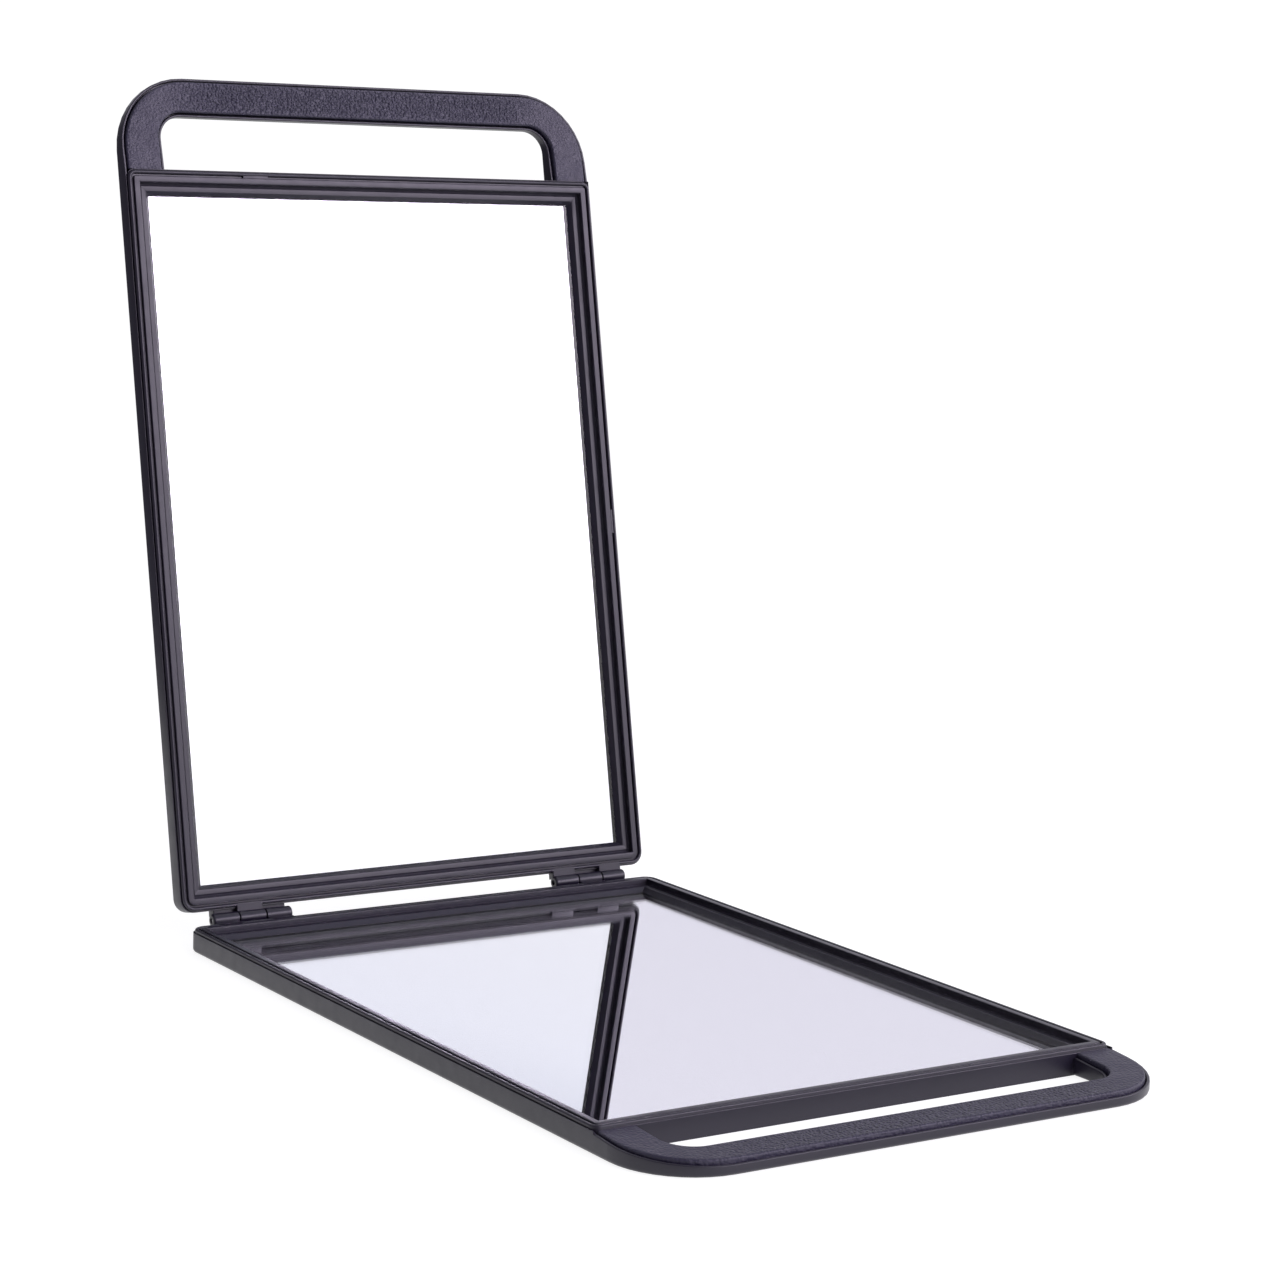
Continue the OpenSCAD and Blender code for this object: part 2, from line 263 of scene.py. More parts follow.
def make_piece(name, leaf, skins, materials, replaced, marks=None):
    """A mesh in the place of a solid, that rides on its leaf's body. A skin is its points, its
    blocks of faces and, where the piece has more than one, the number of its material."""
    mesh = joined_mesh(name, leaf, skins, marks)
    open_edges, volume = weld(mesh)
    mesh.polygons.foreach_set("use_smooth", np.ones(len(mesh.polygons), bool))
    mesh.set_sharp_from_angle(angle=sharp_angle)
    for material in materials:
        mesh.materials.append(material)
    piece = bpy.data.objects.new(name, mesh)
    bpy.context.scene.collection.objects.link(piece)
    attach(piece, leaf)
    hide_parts(replaced)
    print(name, "faces", len(mesh.polygons), "open edges", open_edges,
          "volume in cubic cm", round(volume * cubic_cm_a_cubic_metre, 1))


print("solids to dress:", sorted(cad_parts))

# %% [markdown]
# The surfaces get their fine detail from noises, looked up at each point's own place in the
# object. Images could be wrapped round the pieces, but noises have no seams and need no
# unwrapping. One helper makes a node with its values and links, so the recipes below stay short.

# %% Nodes and noises
noise_low, noise_high = 0.3, 0.7


def add_node(tree, kind, values=None, links=None, **settings):
    """A shader node with its settings, then the values of some inputs and links to others."""
    node = tree.nodes.new("ShaderNode" + kind)
    for setting, choice in settings.items():
        setattr(node, setting, choice)
    for socket, value in (values or {}).items():
        node.inputs[socket].default_value = value
    for socket, source in (links or {}).items():
        tree.links.new(source, node.inputs[socket])
    return node


def noise(tree, scale, detail):
    """A number from 0 to 1 that wanders over the object, with scale lumps a metre."""
    place = add_node(tree, "TexCoord").outputs["Object"]
    return add_node(tree, "TexNoise", {"Scale": scale, "Detail": detail, "Roughness": 0.5},
                    {"Vector": place}).outputs["Fac"]


def varied(tree, source, low, high):
    """The middle part of a noise, stretched to run from low to high."""
    spread = {"From Min": noise_low, "From Max": noise_high, "To Min": low, "To Max": high}
    return add_node(tree, "MapRange", spread, {"Value": source}).outputs["Result"]


def mottled(tree, source, dark, light):
    """A colour that goes from dark to light with a noise."""
    return add_node(tree, "Mix", {"A": (*dark, 1), "B": (*light, 1)}, {"Factor": source},
                    data_type="RGBA").outputs["Result"]


def plain_material(name):
    m = bpy.data.materials.new(name)
    m.use_nodes = True
    return m, m.node_tree, m.node_tree.nodes["Principled BSDF"]


print("a noise's middle part runs from", noise_low, "to", noise_high)

# %% [markdown]
# Tray, bezel and grip plate are moulded in near-black plastic with a cool, faintly purple cast.
# Its satin skin is the print of a spark-eroded mould. Such a skin could be dug into the shape,
# but it is far finer than a pixel, so here a fine noise varies the roughness and a very low bump
# breaks up the reflections. The handle's front has a coarser pebble grain, strongest in the
# middle of the bar, and the bezel's channel is duller. The marks on the points say where.

# %% The skin and the grain
skin_height = 0.00002
skin_scale, pebble_scale = 2600, 900


def marks_strength(tree):
    return add_node(tree, "Attribute", attribute_name="marks").outputs["Fac"]


def skin_bump(tree):
    return add_node(tree, "Bump", {"Strength": 1.0, "Distance": skin_height},
                    {"Height": noise(tree, skin_scale, 3)}).outputs["Normal"]


def pebble_bump(tree, height, skin):
    """Pebbles on the skin: the distance to the nearest of many scattered points, times the
    marks, turned upside down."""
    place = add_node(tree, "TexCoord").outputs["Object"]
    pebbles = add_node(tree, "TexVoronoi", {"Scale": pebble_scale, "Randomness": 1.0},
                       {"Vector": place}, feature="SMOOTH_F1")
    depth = add_node(tree, "Math", None, {0: pebbles.outputs["Distance"], 1: marks_strength(tree)},
                     operation="MULTIPLY").outputs[0]
    return add_node(tree, "Bump", {"Strength": 1.0, "Distance": height},
                    {"Height": depth, "Normal": skin}, invert=True).outputs["Normal"]


print("pebbles are about", round(millimetres_a_metre / pebble_scale, 1), "mm apart")

# %% Three plastics
broad_scale, satin_scale = 18, 160
smoother, rougher = 0.04, 0.05


def moulded_plastic(name, dark, light, roughness, grain=0.0, matt=0.0):
    """Plastic whose colour, roughness and bump come from noises in the object. Its roughness is
    a noise plus the marks times matt."""
    m, tree, surface = plain_material(name)
    tree.links.new(mottled(tree, noise(tree, broad_scale, 2), dark, light),
                   surface.inputs["Base Color"])
    satin = varied(tree, noise(tree, satin_scale, 4), roughness - smoother, roughness + rougher)
    duller = add_node(tree, "Math", {1: matt}, {0: marks_strength(tree), 2: satin},
                      operation="MULTIPLY_ADD").outputs[0]
    tree.links.new(duller, surface.inputs["Roughness"])
    surface.inputs["Specular IOR Level"].default_value = 0.5
    bump = skin_bump(tree)
    if grain:
        bump = pebble_bump(tree, grain, bump)
    tree.links.new(bump, surface.inputs["Normal"])
    return m


black, light_black = (0.0075, 0.0056, 0.0145), (0.011, 0.0083, 0.0205)
grip_black, light_grip_black = (0.016, 0.013, 0.033), (0.022, 0.0185, 0.044)
tray_plastic = moulded_plastic("tray_plastic", black, light_black, 0.36)
bezel_plastic = moulded_plastic("bezel_plastic", black, light_black, 0.36, matt=0.4)
grip_plastic = moulded_plastic("grip_plastic", grip_black, light_grip_black, 0.50, grain=0.0013)
print("plastics:", tray_plastic.name, bezel_plastic.name, grip_plastic.name)

# %% [markdown]
# The mirror is clear float glass with silver on its back. One shiny face could stand for it, but
# the real one reflects twice, weakly at the front and strongly behind, and has a clear edge. So
# one mesh carries both materials.

# %% Glass and silver
clear_glass, tree, surface = plain_material("clear_glass")
surface.inputs["Base Color"].default_value = (0.980, 0.985, 0.992, 1)
surface.inputs["Roughness"].default_value = 0.0
surface.inputs["IOR"].default_value = 1.52
surface.inputs["Transmission Weight"].default_value = 1.0

silver, tree, surface = plain_material("silver")
surface.inputs["Metallic"].default_value = 1.0
surface.inputs["Roughness"].default_value = 0.0
surface.inputs["Base Color"].default_value = (0.96, 0.965, 0.97, 1)
print("the mirror's materials:", clear_glass.name, silver.name)

# %% [markdown]
# The hinge pins are steel, and the pads behind the glass are grey card. Both lie hidden inside
# the mouldings. They could be made again like the other pieces, but nothing of them shows, so
# their solids stay and only get a finish.

# %% Steel and card
steel_scale, card_scale = 900, 700

steel, tree, surface = plain_material("pin_steel")
surface.inputs["Metallic"].default_value = 1.0
surface.inputs["Base Color"].default_value = (0.55, 0.55, 0.56, 1)
tree.links.new(varied(tree, noise(tree, steel_scale, 3), 0.25, 0.42), surface.inputs["Roughness"])

card, tree, surface = plain_material("backing_card")
surface.inputs["Roughness"].default_value = 0.85
tree.links.new(mottled(tree, noise(tree, card_scale, 4), (0.32, 0.30, 0.27), (0.40, 0.38, 0.34)),
               surface.inputs["Base Color"])

for name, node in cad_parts.items():
    node.data.materials.clear()
    node.data.materials.append(steel if "pin" in name else card if "pad" in name
                               else tray_plastic)
print("materials:", [m.name for m in bpy.data.materials])

# %% [markdown]
# The tray is one moulding: a back plate with rounded edges, side walls, the channel of the
# handle and the bead round the glass. It could be carved out of a block, but all its walls
# follow the outline. So its outer skin is carried round frame and handle together. At the handle
# the wall's top slopes down and is wider, which makes the channel's rim.

# %% The tray's outline
rim_drop, rim_slope = 2.4, np.radians(5.2)
least_corner = 0.2
side_start, nudge = 12, 0.02
handle_side = (3, 9)
side_y = np.concatenate([np.linspace(side_start, frame_end - nudge, 16), [frame_end + nudge],
                         np.linspace(frame_end + handle_side[0], frame_end + handle_side[1], 3)])


def rim_level(y):
    """Height of the handle's rim: 2.4 below the bead at the frame, sloping down 5.2 degrees."""
    return -rim_drop - np.tan(rim_slope) * np.maximum(y - frame_end, 0)


def whole_loop(inset):
    """The outline of frame and handle together, set in."""
    return rounded_loop(half_width - inset, axis_gap + inset, tip_end - inset,
                        max(corner_radius - inset, least_corner), handle_radius - inset, side_y)


print("the rim falls to", round(float(rim_level(tip_end)), 2), "mm at the handle's end")

# %% The tray's outside
rim_thickness, foot_step = 1.3, 0.05
back_radius, wall_radius, step_radius, rim_radius = 2, 0.15, 0.06, 0.45
frame_top, parting_floor = -1.6, -2.3
lip_width, bead_edge, under_bead = 0.4, 0.75, 0.95
edge_turn, step_turn = np.radians([0, 22, 45, 67, 90]), np.radians([45, 90])


def tray_skin():
    """Rows of the tray's outside: back edge, wall, top of the wall, and down to the floor. A
    round edge of radius r lies r minus r cos a inward and r minus r sin a below the top."""
    outer = whole_loop(0)
    at_handle = outer[:, 1] > frame_end
    top = rim_level(outer[:, 1])

    def row(frame_inset, handle_inset, frame_z, handle_z):
        xy = np.where(at_handle[:, None], whole_loop(handle_inset), whole_loop(frame_inset))
        return at_height(xy, np.where(at_handle, handle_z, frame_z))

    back = arc_profile(back_radius, -body_thickness + back_radius, back_radius, 270, 180, 8)
    rows = [at_height(whole_loop(u), z) for u, z in back]
    w, s, e = wall_radius, step_radius, rim_radius
    rows += [row(w - w * np.cos(a), e - e * np.cos(a),
                 frame_top - w + w * np.sin(a), top - e + e * np.sin(a)) for a in edge_turn]
    rows.append(row(lip_width - s, rim_thickness - e, frame_top, top))
    rows += [row(lip_width - s + s * np.sin(a), rim_thickness - e + e * np.sin(a),
                 frame_top - s + s * np.cos(a), top - e + e * np.cos(a)) for a in step_turn]
    rows.append(row(lip_width, rim_thickness, parting_floor, floor_level))
    rows.append(row(under_bead, rim_thickness + foot_step, parting_floor, floor_level))
    rows.append(row(under_bead, rim_thickness + 2 * foot_step, floor_level, floor_level))
    return np.array(rows)


print("the tray's outside has", len(tray_skin()), "rows")

# %% [markdown]
# The finger slot goes right through the tray. A cut with a cutter would leave its back edge
# sharp to the fingers, where the real one is rounded. So the slot's wall is a skin of its own
# that ends in a round edge, and the tray's two flat faces are closed round it.

# %% The finger slot and the flat faces
slot_half, slot_end, slot_radius = 104.4, frame_end + 25.5, 11.0
slot_edge = 1.2


def slot_loop(out):
    """Round the finger slot, grown outward. The corners at the frame are square."""
    return rounded_loop(slot_half + out, frame_end, slot_end + out, tightest_radius,
                        slot_radius + out)


def slot_skin():
    """The slot's wall through the plate, with a rounded edge at the back."""
    edge = arc_profile(slot_edge, -body_thickness + slot_edge, slot_edge, 270, 180, 6)
    profile = np.vstack([edge, [(0, floor_level)]])
    return np.array([at_height(slot_loop(u), z) for u, z in profile])[::-1]


def tray_plate():
    """The tray's outside, the slot's wall and the two flat faces that close them."""
    outside, slot = tray_skin(), slot_skin()
    back = cap(outside[0], [slot[-1]], up=False)
    front = cap(outside[-1], [slot[0]], up=True)
    return [grid(outside, wrap_rows=False), grid(slot, wrap_rows=False), back, front]


print("the slot is", 2 * slot_half, "by", round(slot_end - frame_end, 1), "mm")

# %% [markdown]
# The bead is the thin round ridge that frames the bezel, a little inside the tray's edge, behind
# a narrow parting line. It could be a tube laid on the tray, but at the handle the real one is
# one piece with the frame's end wall. So bead and wall share one closed profile.

# %% The bead and the frame's end wall
bead_radius = 0.85
bead_inner = bead_edge + 2 * bead_radius
# inset at the handle's end, and height
end_wall = [(0.0, floor_level), (0.0, -1.8), (0.1, -1.63), (lip_width - 0.05, -1.6),
            (lip_width, -1.65), (lip_width, parting_floor)]


def bead_row(inset, grip_in, z):
    return frame_loop(inset, inset, grip_in, z, corner_radius - inset, grip_corner_radius - inset)


def bead_ring():
    """A closed profile carried round the frame: the end wall and the rounded bead."""
    bead = arc_profile(bead_edge + bead_radius, -bead_radius, bead_radius, 180, 0, 14)
    rows = [bead_row(bead_edge, grip_in, z) for grip_in, z in end_wall]
    rows += [bead_row(u, u, z) for u, z in bead]
    rows.append(bead_row(bead_inner, bead_inner, floor_level))
    return [grid(np.array(rows))]


print("the bead ends", round(bead_inner, 2), "mm inside the leaf's edge")

# %% [markdown]
# Between the finger slot and the grip plate stands a second rim. A closed loop would run on
# through the frame, where the real rim stops, so this one follows an open U and gets two ends.

# %% The rim round the finger slot
arm_steps, bar_steps, turn_steps = 10, 40, 16
slot_rim_drop, run_in = 1.0, 0.3


def u_path(half, top, r, start):
    """Points up one arm, round the corner, along the bar and down the other arm. A corner point
    is the arc's centre plus the radius times (cos a, sin a)."""
    up = np.linspace(start, top - r, arm_steps + 1)[:-1]
    a = np.radians(np.linspace(0, 90, turn_steps + 1))
    bar = np.linspace(half - r, -half + r, bar_steps + 1)[1:-1]
    right = np.vstack([np.stack([np.full(arm_steps, half), up], 1),
                       np.stack([half - r + r * np.cos(a), top - r + r * np.sin(a)], 1)])
    left = right[::-1] * [-1, 1]
    return np.vstack([right, np.stack([bar, np.full(bar_steps - 1, top)], 1), left])


def slot_rim():
    """A closed profile along the U: up from the floor, over two round edges, and down again."""
    e, turn = rim_radius, edge_turn
    outward = [rim_thickness, *(rim_thickness - e + e * np.cos(turn)), *(e - e * np.sin(turn)), 0]
    rise = [0, *(-e + e * np.sin(turn)), *(-e + e * np.cos(turn)), 0]
    paths = np.array([u_path(slot_half + out, slot_end + out, slot_radius + out,
                             frame_end - run_in) for out in outward])
    z = rim_level(paths[..., 1]) - slot_rim_drop + np.array(rise)[:, None]
    z[[0, -1]] = floor_level
    return [closed_tube(np.dstack([paths, z]))]


print("the rim's path has", len(u_path(10, 20, 1, 0)), "points")

# %% [markdown]
# Each hinge has knuckles on a steel pin, one of one leaf between two of the other. They could be
# plain cylinders, but moulded ones have a small round at each end, and a large one at the outer
# end. So a knuckle is a profile turned about the hinge axis. A flange ties it to the frame, and a
# web behind each hinge stiffens the frame's end.

# %% A knuckle and a bar
knuckle_radius, pin_bore = 3.1, 1.3
large_round, small_round = 1.0, 0.25
turned_steps = 48


def knuckle(x0, x1, round_low, round_high):
    """A ring turned about the hinge axis: (x, r cos a, r sin a) for each point of a profile. Its
    outer end has a large radius."""
    e0 = large_round if round_low else small_round
    e1 = large_round if round_high else small_round
    profile = np.vstack([[(x0, pin_bore)],
                         arc_profile(x0 + e0, knuckle_radius - e0, e0, 180, 90, 6),
                         arc_profile(x1 - e1, knuckle_radius - e1, e1, 90, 0, 6),
                         [(x1, pin_bore)]])
    x, r = profile.T[..., None]
    a = np.linspace(0, 2 * np.pi, turned_steps + 1)[:-1]
    rows = np.stack(np.broadcast_arrays(x, r * np.cos(a), axis_rise + r * np.sin(a)), -1)
    return grid(rows[::-1])


def rounded_bar(x0, x1, z0, z1, r, y0, y1):
    """A bar along y with a rounded rectangle as its section and flat ends."""
    section = np.vstack([arc_profile(cx, cz, r, a0, a0 + 90, 4)
                         for cx, cz, a0 in ((x1 - r, z1 - r, 0), (x0 + r, z1 - r, 90),
                                            (x0 + r, z0 + r, 180), (x1 - r, z0 + r, 270))])
    x, z = section.T[..., None]
    return closed_tube(np.stack(np.broadcast_arrays(x, np.array([y0, y1]), z), -1))


print("a knuckle has", len(knuckle(0, 13, False, True)[0]), "points")

# %% The hinge lugs
hinge_offset, knuckle_length, knuckle_gap = 91.4, 13.0, 0.5
hinge_half = 1.5 * knuckle_length + knuckle_gap
flange_inset, flange_radius, flange_reach = 0.6, 0.35, 2.35
web_inset_low, web_inset_high, web_radius = 3.1, 0.6, 0.5
web_bottom, web_top, web_start, web_reach = -8.8, -3.4, 1.2, 1


def lug(x0, x1, round_low=False, round_high=False):
    """A knuckle and the flange that ties it to the frame."""
    a = x0 + (flange_inset if round_low else 0)
    b = x1 - (flange_inset if round_high else 0)
    return [knuckle(x0, x1, round_low, round_high),
            rounded_bar(a, b, axis_rise - knuckle_radius, 0.0, flange_radius,
                        0.0, axis_gap + flange_reach)]


def lugs():
    """One knuckle on the left, two on the right, and a web behind each hinge."""
    low, high = hinge_offset - hinge_half, hinge_offset + hinge_half
    skins = lug(-hinge_offset - knuckle_length / 2, -hinge_offset + knuckle_length / 2)
    skins += lug(low, low + knuckle_length, round_low=True)
    skins += lug(high - knuckle_length, high, round_high=True)
    for side in (-1, 1):
        skins.append(rounded_bar(side * hinge_offset - hinge_half + web_inset_low,
                                 side * hinge_offset + hinge_half - web_inset_high,
                                 web_bottom, web_top, web_radius,
                                 web_start, axis_gap + web_reach))
    return skins


print("a hinge is", 2 * hinge_half, "mm wide")

# %% The two trays
for leaf in leaves:
    make_piece(leaf + "_tray", leaf, tray_plate() + bead_ring() + slot_rim() + lugs(),
               [tray_plastic], leaf + "_shell")

# %% [markdown]
# The bezel is a stepped picture frame that holds the glass down. From the outside in it has a
# flat band, a narrow deep channel, a lower flat band, a small step and a sloping lip that ends on
# the glass. Four mitred bars would show their joints, and a moulding has none. So one closed
# profile goes round all four sides. The channel's bottom is round, which draws a thin light line
# along it, and the groove between bezel and bead is closed a little way down.

# %% The bezel's profile
outer_leg = [(2.5, floor_level), (2.5, -1.3), (3.3, -1.3)]
upper_band = [*arc_profile(3.75, -0.45, 0.45, 180, 90, 5), *arc_profile(5.9, -0.45, 0.45, 90, 0, 5)]
channel = arc_profile(7.1, -2.4, 0.75, 180, 310, 8)
lower_band = [*arc_profile(7.88, -3.09, 0.25, 140, 85, 3), (9.9, -3.02)]
step_and_lip = [(10.05, -3.14), (10.28, -3.45), (11.6, -5.1), (11.7, -5.2)]
underside = [(11.7, -5.26), (6.2, -5.26), (6.2, floor_level)]
bezel_profile = np.vstack([outer_leg, upper_band, channel, lower_band, step_and_lip, underside])
print("the bezel's profile has", len(bezel_profile), "points of inset and height")

# %% The bezel's ring and its dull channel
last_rounded, square_corner = 4.5, 0.3
lip_start, lip_spread = 10.0, 0.25
dull_from, dull_to, dull_below = 6.2, 7.7, -1.0


def bezel_ring():
    """The profile carried round the frame, with round outer and square inner corners. On the two
    long sides the lip reaches in by a quarter more of its own width."""
    rows = []
    for u, z in bezel_profile:
        outside = u < last_rounded
        r_hinge = corner_radius - u if outside else square_corner
        r_grip = grip_corner_radius - u if outside else square_corner
        side = u + lip_spread * max(u - lip_start, 0) * (z > floor_level)
        rows.append(frame_loop(u, side, u, z, r_hinge, r_grip))
    return np.array(rows)


def channel_marks(rows):
    """1 down in the channel between the bands, 0 on the faces."""
    inset, z = half_width - np.abs(rows[..., 0]).max(1), rows[:, 0, 2]
    inside = (inset > dull_from) & (inset < dull_to) & (z < dull_below)
    return np.repeat(inside.astype(float), rows.shape[1])


print("the ring has", bezel_ring().shape[0], "rows of", bezel_ring().shape[1], "points")

# %% [markdown]
# Two low tabs lie across the groove, where the bezel clips into the tray. They show as short
# dashes beside the bead, one at the handle's end and one in the middle of a long side. The real
# catches go deeper, but only their tops can be seen, so plain bars are enough.

# %% The two bezels
tab_bottom, tab_top, tab_radius = -1.9, -0.35, 0.2
tab_outer, tab_inner = 3.3, 2.2
end_tab_x, side_tab_y = (-66.3, -53.4), (164.5, 176.0)


def snap_tab(x0, x1, y0, y1):
    """A low block across the groove, where the bezel clips into the tray."""
    return rounded_bar(x0, x1, tab_bottom, tab_top, tab_radius, y0, y1)


tabs = [snap_tab(*end_tab_x, frame_end - tab_outer, frame_end - tab_inner),
        snap_tab(half_width - tab_outer, half_width - tab_inner,
                 axis_gap + side_tab_y[0], axis_gap + side_tab_y[1])]
for leaf in leaves:
    rows = bezel_ring()
    make_piece(leaf + "_bezel_ring", leaf, [grid(rows)] + tabs,
               [bezel_plastic], leaf + "_bezel", channel_marks(rows))

# %% [markdown]
# The glass is a thin slab that runs in under the bezel on all sides. A flat sheet could show the
# same reflections, but the clear edge and the two faces need its thickness. Its rim has the
# small ground chamfer that keeps a cut edge from chipping.

# %% The two glasses
glass_front, glass_thickness = -5.25, 2.35
glass_inset, ground, glass_corner = 6.5, 0.3, 8.0


def glass_slab():
    """Four loops that make the rim with a small ground edge, from the back to the front."""
    glass_back = glass_front - glass_thickness
    rim = ((glass_inset + ground, glass_front), (glass_inset, glass_front - ground),
           (glass_inset, glass_back + ground), (glass_inset + ground, glass_back))
    return np.array([frame_loop(inset, inset, inset, z, glass_corner - inset, glass_corner - inset)
                     for inset, z in rim])[::-1]


for leaf in leaves:
    rows = glass_slab()
    around = np.arange(rows.shape[1])[None]
    front = (rows[-1], [around])
    back = (rows[0], [around[:, ::-1]], 1)
    make_piece(leaf + "_mirror", leaf, [grid(rows, wrap_rows=False), front, back],
               [clear_glass, silver], leaf + "_glass")

# %% [markdown]
# The grip plate is a second moulding that fills the handle's channel. Its face slopes down by
# 3.6 degrees towards the end of the handle, and its edges are rounded. It could be cut out of a
# slanted block. It is laid as rows across the channel instead, because the pebble grain can then
# fade towards the plate's own edges.

# %% The grip plate's skin
plate_gap = rim_thickness + 0.6
plate_drop, plate_slope = 1.7, np.radians(3.6)
plate_edge, plate_steps = 0.9, 8
plate_turn = np.radians([0, 18, 36, 54, 72, 90])


def plate_level(y):
    """Height of the plate's face: 1.7 below the bead at the frame, sloping 3.6 degrees."""
    return -plate_drop - np.tan(plate_slope) * np.maximum(y - frame_end, 0)


def grip_skin():
    """Rows across the plate, from the slot's side to the outside, and their share of the way. A
    point is inner plus share times (outer minus inner), and a share is a distance over the width.
    Along both edges the face drops on a quarter circle."""
    inner = u_path(slot_half + plate_gap, slot_end + plate_gap, slot_radius + plate_gap,
                   frame_end)
    outer = u_path(half_width - plate_gap, tip_end - plate_gap, handle_radius - plate_gap,
                   frame_end)
    width = np.linalg.norm(outer - inner, axis=1)
    e, turn = plate_edge, plate_turn
    near = np.array([0, *(e - e * np.cos(turn))])[:, None]
    far = np.array([*(e - e * np.sin(turn)), 0])[:, None]
    t = np.linspace(0, 1, plate_steps + 1)[1:-1, None]
    share = np.vstack([near / width, (e + (width - 2 * e) * t) / width, 1 - far / width])
    rise = np.array([0, *(-e + e * np.sin(turn)), *np.zeros(len(t)), *(-e + e * np.cos(turn)), 0])
    xy = inner + (outer - inner) * share[..., None]
    z = plate_level(xy[..., 1]) + rise[:, None]
    z[[0, -1]] = floor_level
    return np.dstack([xy, z])[::-1], share[::-1]


print("the plate has", grip_skin()[0].shape[0], "rows of", grip_skin()[0].shape[1], "points")

# %% The two grip plates
grain_end, grain_fade = 104, 30
grain_edge, least_grain = 0.12, 0.25


def grain_amount(rows, share):
    """Pebble grain: full in the middle of the bar. It fades to the corners by the smooth step
    3 t t minus 2 t t t, and to the plate's edges evenly."""
    along = np.clip((grain_end - np.abs(rows[..., 0])) / grain_fade, 0, 1)
    across = np.clip(np.minimum(share, 1 - share) / grain_edge, 0, 1)
    return least_grain + (1 - least_grain) * (along * along * (3 - 2 * along)) * across


for leaf in leaves:
    rows, share = grip_skin()
    make_piece(leaf + "_grip_plate", leaf, [closed_tube(rows)],
               [grip_plastic], leaf + "_grip", grain_amount(rows, share))

# %% [markdown]
# The mirror lies on a white table that is paler than the film can hold. A plain white plane
# would take strong shadows from the leaves, so this one glows a little by itself and keeps only
# the faintest. It is a disc of a limited size, because the glass also mirrors what lies beyond
# its edge.

# %% The table
table_radius, table_steps = 0.75, 128
table_colour, table_glow = (0.30, 0.30, 0.305, 1), 0.86


def round_floor(radius):
    """A flat disc: radius times (cos a, sin a)."""
    a = np.linspace(0, 2 * np.pi, table_steps + 1)[:-1]
    points = radius * np.stack([np.cos(a), np.sin(a), 0 * a], 1)
    mesh = bpy.data.meshes.new("floor")
    mesh.from_pydata(points.tolist(), [], [list(range(table_steps))])
    piece = bpy.data.objects.new("floor", mesh)
    bpy.context.scene.collection.objects.link(piece)
    m, tree, surface = plain_material("floor_white")
    surface.inputs["Base Color"].default_value = table_colour
    surface.inputs["Emission Color"].default_value = (1.0, 1.0, 1.0, 1)
    surface.inputs["Emission Strength"].default_value = table_glow
    surface.inputs["Roughness"].default_value = 0.9
    surface.inputs["Specular IOR Level"].default_value = 0.1
    mesh.materials.append(m)


round_floor(table_radius)
print("the table is", 2 * table_radius, "metres across")

# %% [markdown]
# Black plastic and mirror glass show little but what is round them, so a tent of light gives
# them their look. Lamps and cards could be hung there, but they would show in the glass with
# hard edges. Here the light depends on direction alone. The tent is white. High on the right it
# has a bright band, on the left it is dimmer, beside the camera it has a dark opening, at the
# back right hangs a lavender sheet that the base glass mirrors, and the back left is dark.

# %% A part of the tent by direction
world = bpy.data.worlds.new("studio")
bpy.context.scene.world = world
world.use_nodes = True
tent_tree = world.node_tree
direction = add_node(tent_tree, "TexCoord").outputs["Generated"]


def smooth_step(value, low, high):
    """0 below low, 1 above high, smooth between them."""
    return add_node(tent_tree, "MapRange", {"From Min": low, "From Max": high}, {"Value": value},
                    interpolation_type="SMOOTHSTEP").outputs["Result"]


def near_direction(unit, toward, inner, outer):
    """1 within inner degrees of a direction, 0 beyond outer degrees, smooth between them. The
    dot product of two unit vectors is the cosine of the angle between them."""
    dot = add_node(tent_tree, "VectorMath", {1: Vector(toward).normalized()}, {0: unit},
                   operation="DOT_PRODUCT").outputs["Value"]
    return smooth_step(dot, np.cos(np.radians(outer)), np.cos(np.radians(inner)))


def lobe(toward, inner, outer):
    """A round part of the tent."""
    return near_direction(direction, toward, inner, outer)


def azimuth_window(toward, inner, outer):
    """An upright part of the tent, to either side of a level direction."""
    flat = add_node(tent_tree, "VectorMath", {1: (1, 1, 0)}, {0: direction},
                    operation="MULTIPLY").outputs["Vector"]
    unit = add_node(tent_tree, "VectorMath", None, {0: flat}, operation="NORMALIZE")
    return near_direction(unit.outputs["Vector"], (*toward, 0), inner, outer)


print("the tent's light goes by direction alone")

# %% A part of the tent by height
quarter_turn = 90


def height_angle():
    """A direction's elevation, as the arcsine of its height, in quarter turns."""
    height = add_node(tent_tree, "SeparateXYZ", None, {0: direction}).outputs["Z"]
    angle = add_node(tent_tree, "Math", None, {0: height}, operation="ARCSINE").outputs[0]
    return add_node(tent_tree, "Math", {1: np.pi / 2}, {0: angle}, operation="DIVIDE").outputs[0]


def elevation_ramp(low, high):
    """0 below one elevation in degrees, 1 above another, smooth between them."""
    return smooth_step(height_angle(), low / quarter_turn, high / quarter_turn)


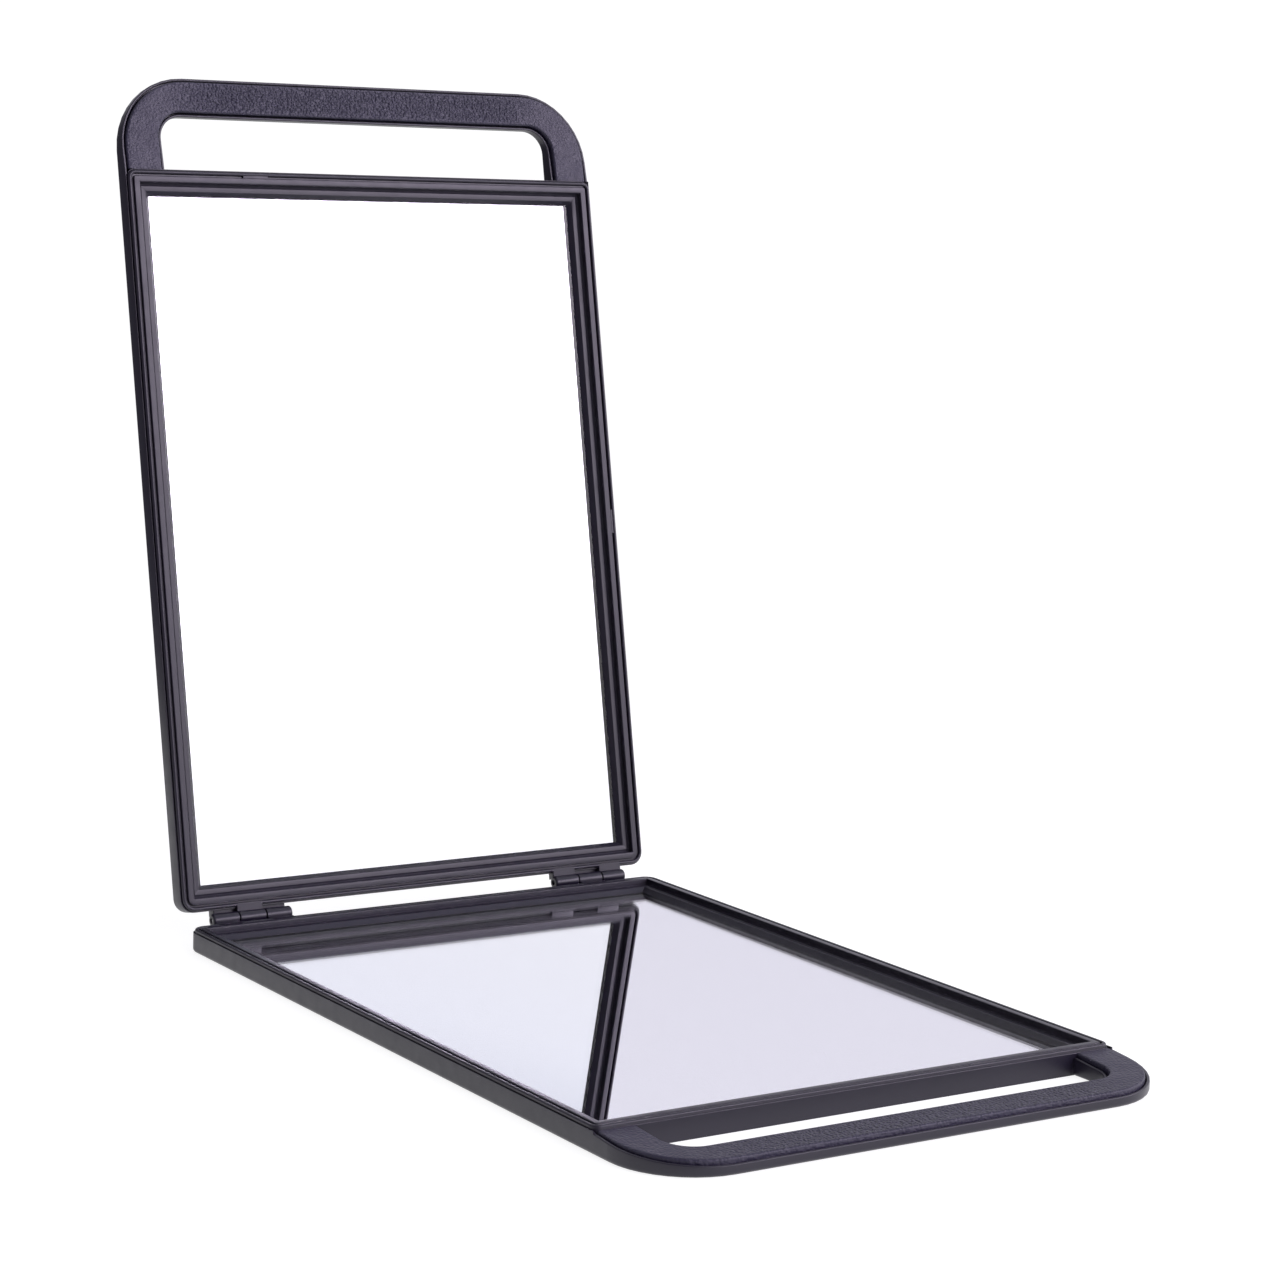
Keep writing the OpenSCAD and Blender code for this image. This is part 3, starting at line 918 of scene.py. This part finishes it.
def lights_by_elevation(levels):
    """Light that changes in straight steps between the elevations listed with it."""
    peak = max(max(colour) for _, colour in levels)
    ramp = add_node(tent_tree, "ValToRGB", None, {"Fac": height_angle()})
    stops = ramp.color_ramp.elements
    while len(stops) < len(levels):
        stops.new(0.5)
    for stop, (elevation, colour) in zip(stops, levels):
        stop.position = elevation / quarter_turn
    for stop, (elevation, colour) in zip(stops, levels):
        stop.color = (*(np.array(colour) / peak), 1)
    return add_node(tent_tree, "VectorMath", {"Scale": peak}, {0: ramp.outputs["Color"]},
                    operation="SCALE").outputs["Vector"]


print("heights run from 0 at the horizon to", quarter_turn, "degrees overhead")

# %% Mixing lights
def blend(factor, below, above):
    """Light that goes from one colour or light to another as the factor goes from 0 to 1."""
    mix = add_node(tent_tree, "Mix", None, {"Factor": factor}, data_type="RGBA")
    for socket, light in (("A", below), ("B", above)):
        if isinstance(light, tuple):
            mix.inputs[socket].default_value = (*light, 1)
        else:
            tent_tree.links.new(light, mix.inputs[socket])
    return mix.outputs["Result"]


def both(a, b):
    """Where two parts of the tent overlap: their product."""
    return add_node(tent_tree, "Math", None, {0: a, 1: b}, operation="MULTIPLY").outputs[0]


tent = (1.04, 1.04, 1.05)
bright, haze = (9.4, 8.3, 10.4), (0.62, 0.645, 0.75)
lavender, dusk, dark = (0.829, 0.806, 0.915), (0.35, 0.345, 0.38), (0.12, 0.115, 0.14)
print("the bright band has", round(bright[1] / tent[1], 1), "times the tent's light")

# %% The tent of light
key = lights_by_elevation([(0, tent), (6.6, (1.0, 1.0, 1.02)), (11, (1.65, 1.6, 1.7)),
                           (15, (3.4, 3.2, 3.6)), (19, (5.6, 5.1, 6.0)), (24, bright),
                           (28.5, bright), (31.5, (1.01, 0.99, 1.06)), (35, (0.96, 0.95, 1.05)),
                           (36.5, (0.81, 0.81, 0.92)), (38.5, haze), (60, haze), (90, tent)])
light = blend(azimuth_window((0.50, -0.87), 30, 60), tent, key)
light = blend(azimuth_window((-1.0, -0.35), 35, 75), light, dusk)
light = blend(lobe((-0.55, -0.83, 0.35), 15, 45), light, dark)
light = blend(both(lobe((0.55, 0.80, 0.42), 36, 46), elevation_ramp(4.5, 9)), light, lavender)
light = blend(lobe((-0.52, 0.85, 0.0), 22, 42), light, dark)
camera_ray = add_node(tent_tree, "LightPath").outputs["Is Camera Ray"]
light = blend(camera_ray, light, tent)
tent_tree.links.new(light, tent_tree.nodes["Background"].inputs["Color"])
bpy.context.scene.view_settings.view_transform = "Standard"
print("the tent has", len(tent_tree.nodes), "nodes")
